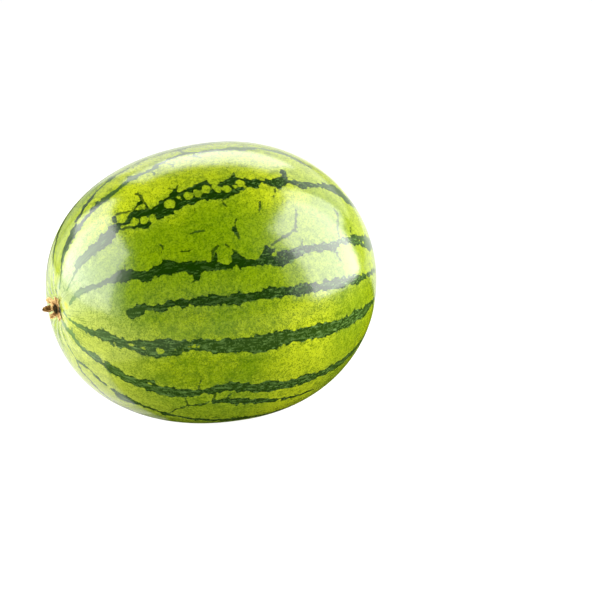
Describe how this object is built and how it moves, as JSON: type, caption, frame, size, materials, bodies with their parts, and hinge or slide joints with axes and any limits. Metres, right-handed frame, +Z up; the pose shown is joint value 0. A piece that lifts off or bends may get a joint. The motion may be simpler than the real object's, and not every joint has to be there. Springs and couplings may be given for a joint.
{
  "type": "watermelon",
  "caption": "Whole oblong striped watermelon lying on its side on a small flat spot, with the curled dry stub of its stem at one end.",
  "frame": {"origin": "on the small flat spot that the fruit rests on, under the middle of its length", "axes": "+Z up, +X along the fruit's long axis from the stem end to the blossom end, -Y the side shown to the viewer"},
  "size_m": [0.2669, 0.2244, 0.2155],
  "materials": {
    "rind": "smooth waxy skin, lime green with jagged dark green stripes",
    "dried_stem": "dry, fibrous, tan to dark brown"
  },
  "bodies": {
    "root": {"fruit": "rind", "dried_stem": "dried_stem"}
  },
  "joints": []
}
